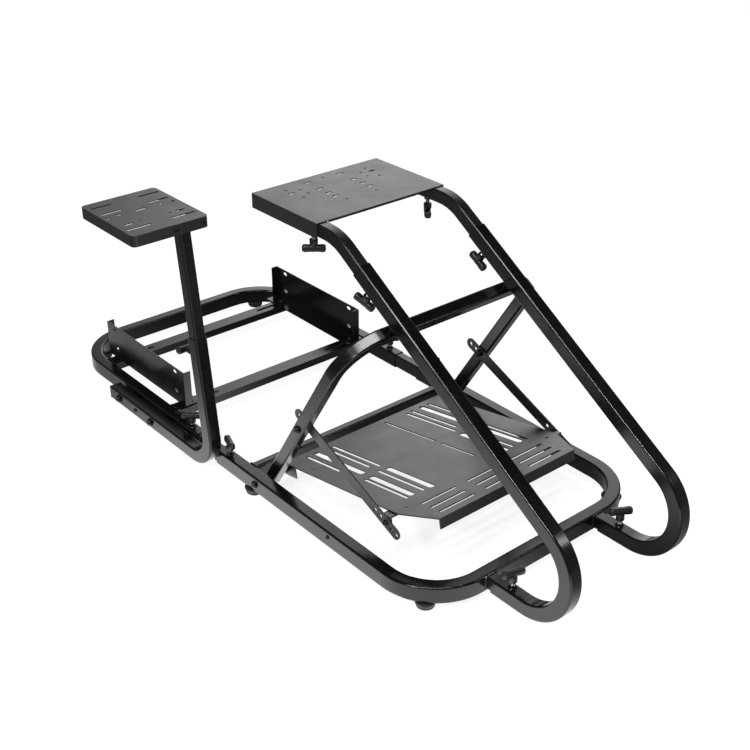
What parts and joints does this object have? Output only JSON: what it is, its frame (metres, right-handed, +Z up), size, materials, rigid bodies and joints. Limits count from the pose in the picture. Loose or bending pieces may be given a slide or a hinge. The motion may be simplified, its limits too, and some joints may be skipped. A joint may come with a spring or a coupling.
{
  "type": "sim racing cockpit",
  "caption": "Open black tube frame on rubber feet with clamped slides, seat brackets, a tilted pedal plate, a wheel plate on sloping posts and a shifter plate at the side",
  "frame": {"origin": "On the floor, below the middle of the whole cockpit's box", "axes": "+X forward to the tips of the wheel posts, +Y to the driver's left, +Z up"},
  "size_m": [1.5164, 0.7419, 0.5889],
  "materials": {
    "tube_steel": "satin black powder coat on bent steel tube",
    "inner_tube_steel": "satin black powder coat, rubbed where it slides",
    "plate_steel": "fine matt black powder coat on folded sheet",
    "knob_plastic": "moulded black nylon",
    "foot_rubber": "black rubber",
    "cap_plastic": "moulded black polythene",
    "zinc_steel": "zinc-plated steel"
  },
  "bodies": {
    "rear_frame": {"rear_base_tube": "tube_steel", "extension_tube_left": "inner_tube_steel", "extension_tube_right": "inner_tube_steel", "seat_rail_rear": "tube_steel", "seat_rail_front": "tube_steel", "seat_bracket_left": "plate_steel", "seat_bracket_right": "plate_steel", "rear_feet": "foot_rubber", "rear_rail_knobs": "knob_plastic", "shifter_spacers": "zinc_steel", "shifter_arm": "tube_steel", "shifter_arm_cap": "cap_plastic", "shifter_knob": "knob_plastic"},
    "front_frame": {"front_base_tube": "tube_steel", "middle_cross_tube": "tube_steel", "front_feet": "foot_rubber", "middle_feet": "foot_rubber", "wheel_post_left": "tube_steel", "post_stub_left": "inner_tube_steel", "wheel_post_right": "tube_steel", "post_stub_right": "inner_tube_steel", "support_hoop": "tube_steel", "hoop_spacers": "zinc_steel", "pedal_plate": "plate_steel", "pedal_pivots": "zinc_steel", "pedal_link_left": "plate_steel", "pedal_link_right": "plate_steel", "pedal_lugs": "plate_steel", "front_rail_knobs": "knob_plastic", "post_arm_knobs": "knob_plastic", "post_sleeve_knobs": "knob_plastic"},
    "wheel_mast": {"wheel_arm_left": "inner_tube_steel", "wheel_arm_right": "inner_tube_steel", "wheel_plate": "plate_steel", "wheel_plate_knobs": "knob_plastic"},
    "shifter_mast": {"shifter_post": "inner_tube_steel", "shifter_plate": "plate_steel"}
  },
  "joints": [
    {"name": "base_slide", "type": "slide", "parent": "rear_frame", "child": "front_frame", "axis": [1, 0, 0], "range_m": [-0.07, 0.1]},
    {"name": "wheel_height_slide", "type": "slide", "parent": "front_frame", "child": "wheel_mast", "axis": [-0.8471, 0, 0.5314], "range_m": [-0.035, 0.12]},
    {"name": "shifter_height_slide", "type": "slide", "parent": "rear_frame", "child": "shifter_mast", "axis": [-0.1149, 0, 0.9934], "range_m": [-0.08, 0.06]}
  ]
}
